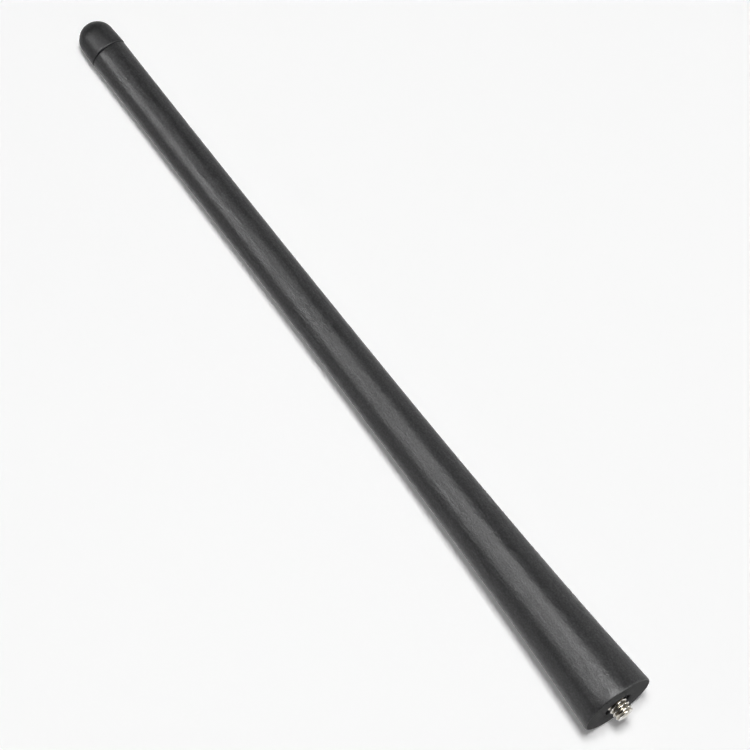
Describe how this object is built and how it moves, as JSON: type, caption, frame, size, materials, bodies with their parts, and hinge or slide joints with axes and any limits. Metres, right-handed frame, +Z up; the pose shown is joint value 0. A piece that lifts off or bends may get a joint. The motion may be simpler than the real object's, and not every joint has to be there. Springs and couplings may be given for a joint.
{
  "type": "car mast aerial",
  "caption": "Short flexible car mast aerial with a flared moulded sleeve, a round tip cap and a threaded stud at its seat.",
  "frame": {"origin": "centre of the seat, on the stud's axis", "axes": "+X along the mast's axis, out of the seat the way the stud points; the tip is towards -X; +Z up, the mast lying on its side"},
  "size_m": [0.2197, 0.0188, 0.0188],
  "materials": {
    "sleeve_rubber": "satin charcoal with a fine even grain",
    "cap_rubber": "satin charcoal, a little smoother than the sleeve",
    "plated_brass": "bright nickel plate",
    "glass_fibre": "translucent cream resin with long fibres",
    "copper_wire": "lacquered copper",
    "shrunk_tube": "matt black shrunk tube",
    "solder": "smooth dull tin solder"
  },
  "bodies": {
    "root": {"sleeve": "sleeve_rubber", "tip_cap": "cap_rubber", "connector": "plated_brass", "core_rod": "glass_fibre", "radiator_coil": "copper_wire", "coil_cover": "shrunk_tube", "solder_joint": "solder"}
  },
  "joints": []
}
